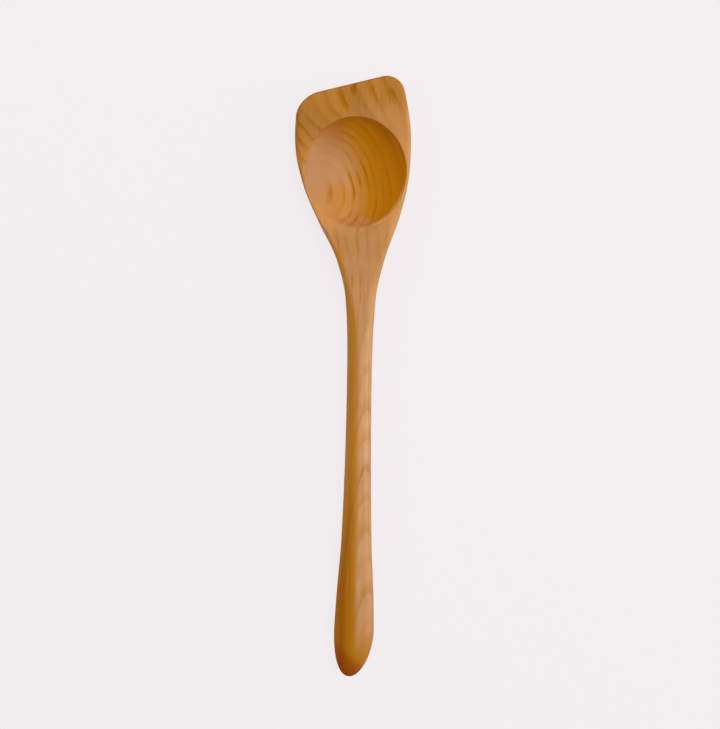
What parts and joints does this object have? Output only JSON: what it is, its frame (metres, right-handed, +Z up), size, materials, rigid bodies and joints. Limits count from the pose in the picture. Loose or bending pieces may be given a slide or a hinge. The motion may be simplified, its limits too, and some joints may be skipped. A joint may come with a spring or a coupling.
{
  "type": "wooden spatula spoon",
  "caption": "One-piece wooden cooking spoon with a slanted flat scraping edge, a round shallow bowl, a slim neck and an oval handle that swells to a rounded grip.",
  "frame": {"origin": "on the table, under the middle of the spoon's outline", "axes": "+Y along the spoon from the butt to the blade, +Z up out of the bowl, +X to the right seen from above with the blade at the top"},
  "size_m": [0.0588, 0.3052, 0.015],
  "materials": {
    "oiled_wood": "sanded smooth and oiled, satin, warm amber with darker growth lines"
  },
  "bodies": {
    "root": {"spatula_spoon": "oiled_wood"}
  },
  "joints": []
}
